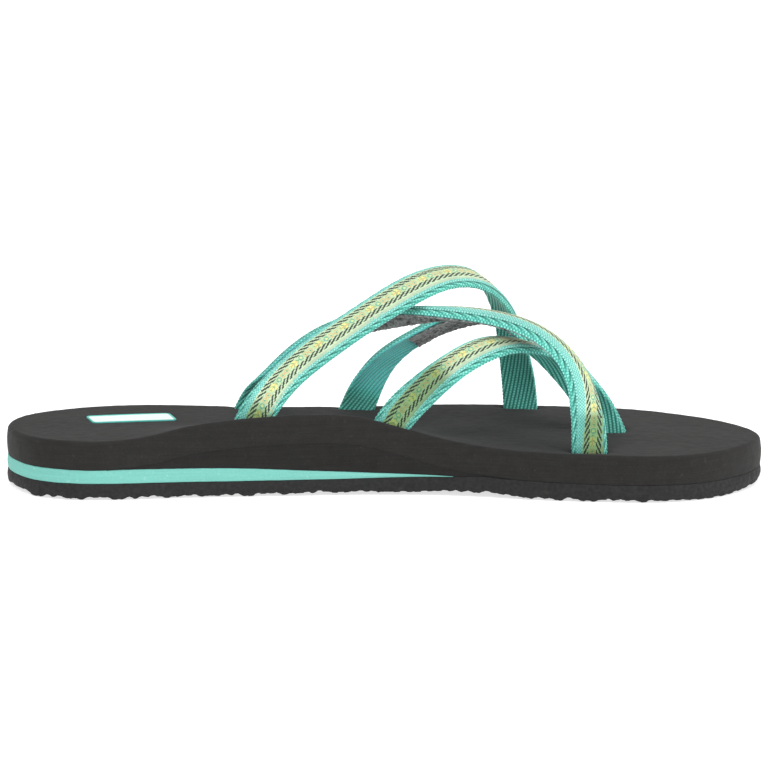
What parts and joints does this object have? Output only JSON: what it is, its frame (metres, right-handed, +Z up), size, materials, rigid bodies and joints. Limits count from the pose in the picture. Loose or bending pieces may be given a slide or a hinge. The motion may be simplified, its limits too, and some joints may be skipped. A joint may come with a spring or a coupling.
{
  "type": "thong sandal",
  "caption": "Flat foam-soled thong sandal for a left foot, with narrow woven straps that cross over the instep and meet a toe post.",
  "frame": {"origin": "middle of the sole's box, on the ground", "axes": "+X from the heel to the toe, +Y to the outer side of the foot, +Z up"},
  "size_m": [0.256, 0.0945, 0.0722],
  "materials": {
    "footbed_foam": "matt closed-cell foam, soft touch",
    "sole_foam": "matt closed-cell foam",
    "wedge_foam": "matt closed-cell foam",
    "outsole_rubber": "matt moulded rubber with wavy cross grooves",
    "label": "thin soft plastic, plain",
    "webbing": "plain-woven polyester webbing with looped edges",
    "ribbon": "patterned woven ribbon with satin borders",
    "lining": "brushed grey lining"
  },
  "bodies": {
    "root": {"footbed": "footbed_foam", "arch_insert": "sole_foam", "heel_wedge": "wedge_foam", "outsole": "outsole_rubber", "heel_label": "label", "instep_strap_webbing": "webbing", "cross_strap_webbing": "webbing", "outer_strap_webbing": "webbing", "inner_strap_webbing": "webbing", "instep_strap_ribbon": "ribbon", "cross_strap_ribbon": "ribbon", "outer_strap_ribbon": "ribbon", "inner_strap_ribbon": "ribbon", "cross_strap_lining": "lining", "outer_strap_lining": "lining"}
  },
  "joints": []
}
